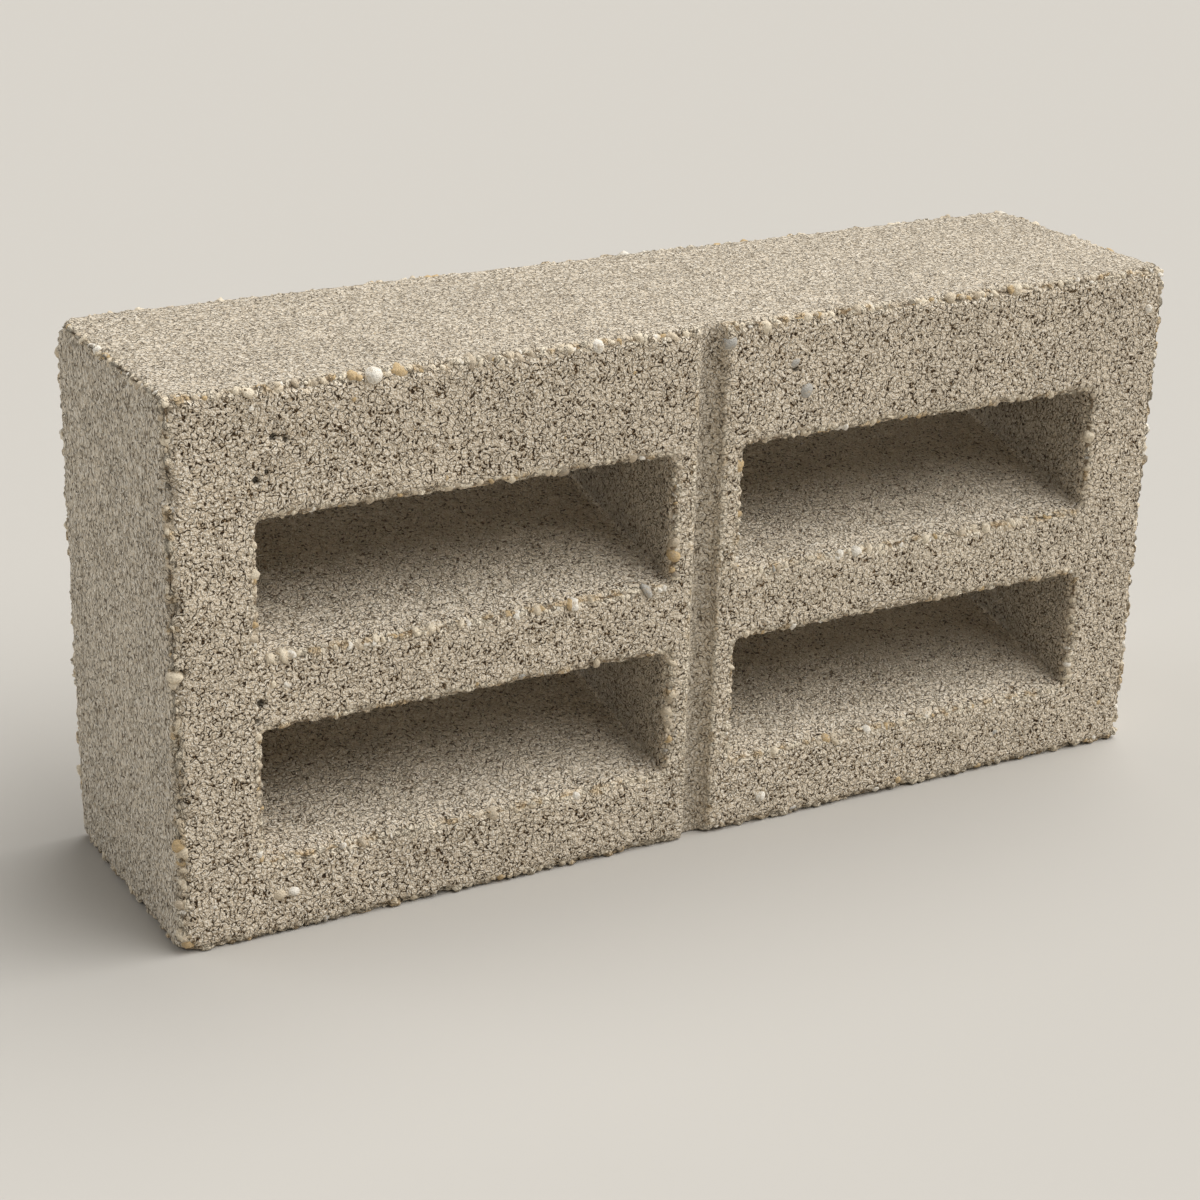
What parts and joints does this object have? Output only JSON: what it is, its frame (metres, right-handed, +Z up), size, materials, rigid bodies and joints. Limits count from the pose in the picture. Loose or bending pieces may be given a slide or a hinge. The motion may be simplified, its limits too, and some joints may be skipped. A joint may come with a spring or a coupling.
{
  "type": "concrete ventilation block",
  "caption": "Oblong cast concrete vent block with through slots whose sills slope down to a grooved front face, for building air and light openings into a wall.",
  "frame": {"origin": "middle of the face that the block stands on", "axes": "+X along the length, +Y from the grooved front face to the back face, +Z up"},
  "size_m": [0.39, 0.1, 0.19],
  "materials": {
    "concrete": "open-textured cast concrete, matt"
  },
  "bodies": {
    "root": {"block": "concrete"}
  },
  "joints": []
}
